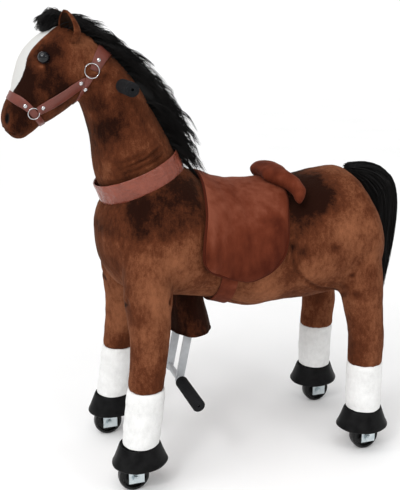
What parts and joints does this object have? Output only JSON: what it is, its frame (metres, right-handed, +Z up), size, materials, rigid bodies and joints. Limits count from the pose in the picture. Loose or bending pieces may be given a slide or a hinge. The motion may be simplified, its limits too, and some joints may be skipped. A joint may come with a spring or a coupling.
{
  "type": "rocking horse",
  "caption": "Ride-on plush horse on castor wheels, with spring-spread leg frames, steering neck handle, pedal lever, saddle and halter.",
  "frame": {"origin": "on the floor under the middle of the horse's outline", "axes": "+X to the nose, +Y to the horse's left, +Z up"},
  "size_m": [0.884, 0.369, 0.974],
  "materials": {
    "plush_brown": "short dense pile, strongly shaded by the lie of the pile",
    "plush_white": "short dense white pile",
    "fur_black": "long silky faux fur",
    "suede": "napped suede cloth",
    "leather": "smooth glossy imitation leather",
    "rubber_black": "satin black rubber",
    "foam_black": "matt foam rubber",
    "zinc": "bright zinc plate",
    "chrome": "polished",
    "frame_steel": "black powder coat",
    "bar_paint": "light grey paint",
    "plywood": "raw plywood",
    "eye_black": "high gloss"
  },
  "bodies": {
    "seat_frame": {"seat_frame": "frame_steel", "pivot_shafts": "zinc", "seat_board": "plywood", "return_springs": "frame_steel", "belly_cover": "plush_brown", "saddle": "suede", "saddle_cantle": "suede", "girth_strap": "suede", "pedal_sleeve": "plush_brown"},
    "front_frame": {"front_frame": "frame_steel", "chest_cover": "plush_brown", "collar": "leather", "front_left_leg_cover": "plush_brown", "front_right_leg_cover": "plush_brown", "front_left_sock": "plush_white", "front_right_sock": "plush_white", "front_left_hoof": "rubber_black", "front_right_hoof": "rubber_black"},
    "rear_frame": {"rear_frame": "frame_steel", "rump_cover": "plush_brown", "tail": "fur_black", "rear_left_leg_cover": "plush_brown", "rear_right_leg_cover": "plush_brown", "rear_left_sock": "plush_white", "rear_right_sock": "plush_white", "rear_left_hoof": "rubber_black", "rear_right_hoof": "rubber_black", "rear_left_fork": "zinc", "rear_right_fork": "zinc", "rear_axles": "zinc"},
    "head": {"steering_shaft": "zinc", "handle_bar": "zinc", "left_grip": "foam_black", "right_grip": "foam_black", "neck_cover": "plush_brown", "head_cover": "plush_brown", "left_ear": "plush_brown", "right_ear": "plush_brown", "eyes": "eye_black", "mane": "fur_black", "forelock": "fur_black", "halter_straps": "leather", "halter_rings": "chrome", "halter_rivets": "chrome"},
    "pedal_lever": {"pedal_bars": "bar_paint", "left_foot_peg": "foam_black", "right_foot_peg": "foam_black"},
    "front_left_fork": {"front_left_fork": "zinc", "front_left_axle": "zinc"},
    "front_left_wheel": {"front_left_wheel": "rubber_black"},
    "front_left_pawl": {"front_left_pawl": "zinc"},
    "rear_left_wheel": {"rear_left_wheel": "rubber_black"},
    "rear_left_pawl": {"rear_left_pawl": "zinc"},
    "front_right_fork": {"front_right_fork": "zinc", "front_right_axle": "zinc"},
    "front_right_wheel": {"front_right_wheel": "rubber_black"},
    "front_right_pawl": {"front_right_pawl": "zinc"},
    "rear_right_wheel": {"rear_right_wheel": "rubber_black"},
    "rear_right_pawl": {"rear_right_pawl": "zinc"}
  },
  "joints": [
    {"name": "front_spread", "type": "hinge", "parent": "seat_frame", "child": "front_frame", "pos_m": [0.06, 0, 0.552], "axis": [0, -1, 0], "range_deg": [0, 8], "stiffness_Nm_per_rad": 110, "springref_deg": -8.59},
    {"name": "rear_spread", "type": "hinge", "parent": "seat_frame", "child": "rear_frame", "pos_m": [-0.15, 0, 0.552], "axis": [0, 1, 0], "range_deg": [0, 8], "stiffness_Nm_per_rad": 110, "springref_deg": -8.59},
    {"name": "pedal_swing", "type": "hinge", "parent": "seat_frame", "child": "pedal_lever", "pos_m": [0.072, 0, 0.43], "axis": [0, 1, 0], "range_deg": [0, 6]},
    {"name": "head_turn", "type": "hinge", "parent": "front_frame", "child": "head", "pos_m": [0.18, 0, 0.64], "axis": [0.3827, 0, 0.9239], "range_deg": [-20, 20]},
    {"name": "front_left_steer", "type": "hinge", "parent": "front_frame", "child": "front_left_fork", "pos_m": [0.222, 0.126, 0.11], "axis": [0, 0, 1], "range_deg": [-15, 15]},
    {"name": "front_left_wheel_spin", "type": "hinge", "parent": "front_left_fork", "child": "front_left_wheel", "pos_m": [0.232, 0.126, 0.0325], "axis": [0, 1, 0], "continuous": true},
    {"name": "front_left_pawl_lift", "type": "hinge", "parent": "front_left_fork", "child": "front_left_pawl", "pos_m": [0.219, 0.1399, 0.0455], "axis": [0, -1, 0], "range_deg": [0, 12], "stiffness_Nm_per_rad": 0.02, "springref_deg": -17.19},
    {"name": "rear_left_wheel_spin", "type": "hinge", "parent": "rear_frame", "child": "rear_left_wheel", "pos_m": [-0.309, 0.126, 0.0325], "axis": [0, 1, 0], "continuous": true},
    {"name": "rear_left_pawl_lift", "type": "hinge", "parent": "rear_frame", "child": "rear_left_pawl", "pos_m": [-0.322, 0.1399, 0.0455], "axis": [0, -1, 0], "range_deg": [0, 12], "stiffness_Nm_per_rad": 0.02, "springref_deg": -17.19},
    {"name": "front_right_steer", "type": "hinge", "parent": "front_frame", "child": "front_right_fork", "pos_m": [0.222, -0.126, 0.11], "axis": [0, 0, 1], "range_deg": [-15, 15]},
    {"name": "front_right_wheel_spin", "type": "hinge", "parent": "front_right_fork", "child": "front_right_wheel", "pos_m": [0.232, -0.126, 0.0325], "axis": [0, 1, 0], "continuous": true},
    {"name": "front_right_pawl_lift", "type": "hinge", "parent": "front_right_fork", "child": "front_right_pawl", "pos_m": [0.219, -0.1399, 0.0455], "axis": [0, -1, 0], "range_deg": [0, 12], "stiffness_Nm_per_rad": 0.02, "springref_deg": -17.19},
    {"name": "rear_right_wheel_spin", "type": "hinge", "parent": "rear_frame", "child": "rear_right_wheel", "pos_m": [-0.309, -0.126, 0.0325], "axis": [0, 1, 0], "continuous": true},
    {"name": "rear_right_pawl_lift", "type": "hinge", "parent": "rear_frame", "child": "rear_right_pawl", "pos_m": [-0.322, -0.1399, 0.0455], "axis": [0, -1, 0], "range_deg": [0, 12], "stiffness_Nm_per_rad": 0.02, "springref_deg": -17.19}
  ],
  "couplings": [
    {"joint": "rear_spread", "follows": "front_spread", "ratio": 1},
    {"joint": "pedal_swing", "follows": "front_spread", "ratio": 0.75},
    {"joint": "front_left_steer", "follows": "head_turn", "ratio": 0.7},
    {"joint": "front_right_steer", "follows": "head_turn", "ratio": 0.7}
  ]
}
